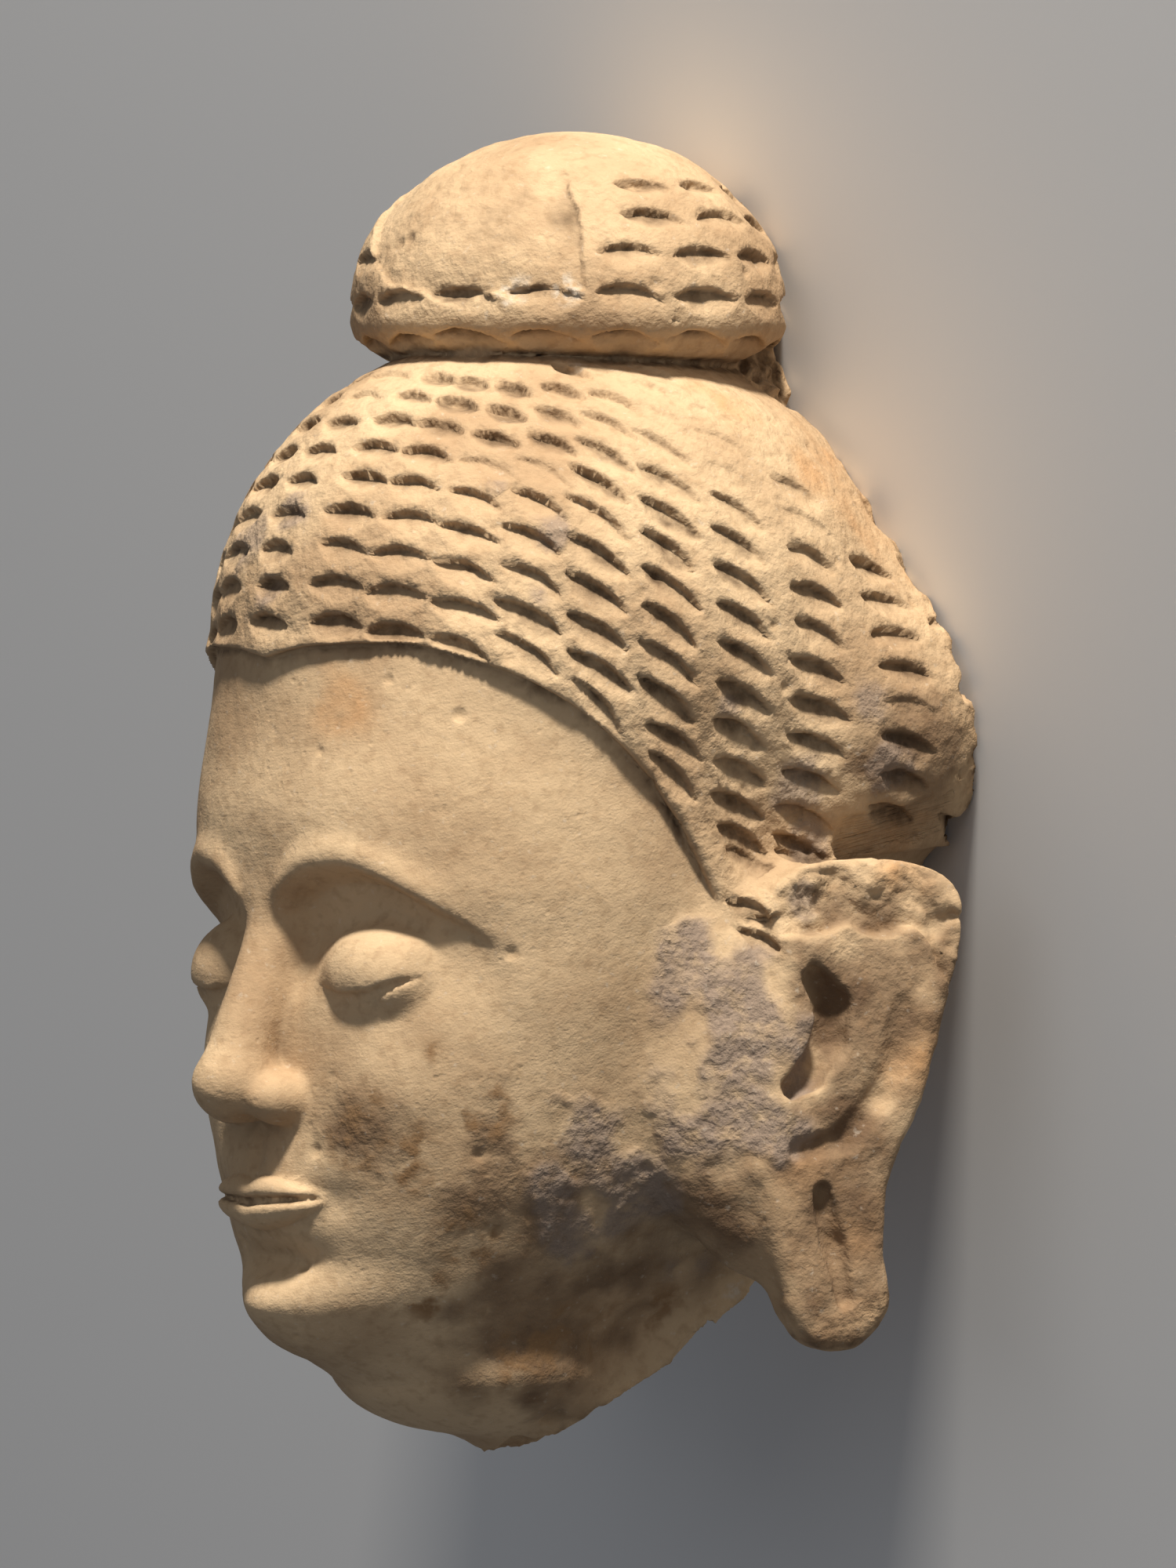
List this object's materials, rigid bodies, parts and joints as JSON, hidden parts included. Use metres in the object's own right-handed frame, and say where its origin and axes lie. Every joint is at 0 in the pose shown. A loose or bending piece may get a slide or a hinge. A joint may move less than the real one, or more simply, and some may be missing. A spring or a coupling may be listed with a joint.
{
  "type": "stucco buddha head fragment",
  "caption": "Broken stucco head with a calm face, hair of crescent-cut locks, domed topknot and long-lobed ears, lying on its flat rear break.",
  "frame": {"origin": "middle of the part's box in X and Y, on the plane of the flat break behind the head that it rests on", "axes": "+Y towards the crown and topknot, +Z out of the face, +X towards the head's own left ear"},
  "size_m": [0.2, 0.3226, 0.2031],
  "materials": {
    "stucco": "dry matt lime stucco with a worn earthy patina"
  },
  "bodies": {
    "root": {"head": "stucco"}
  },
  "joints": []
}
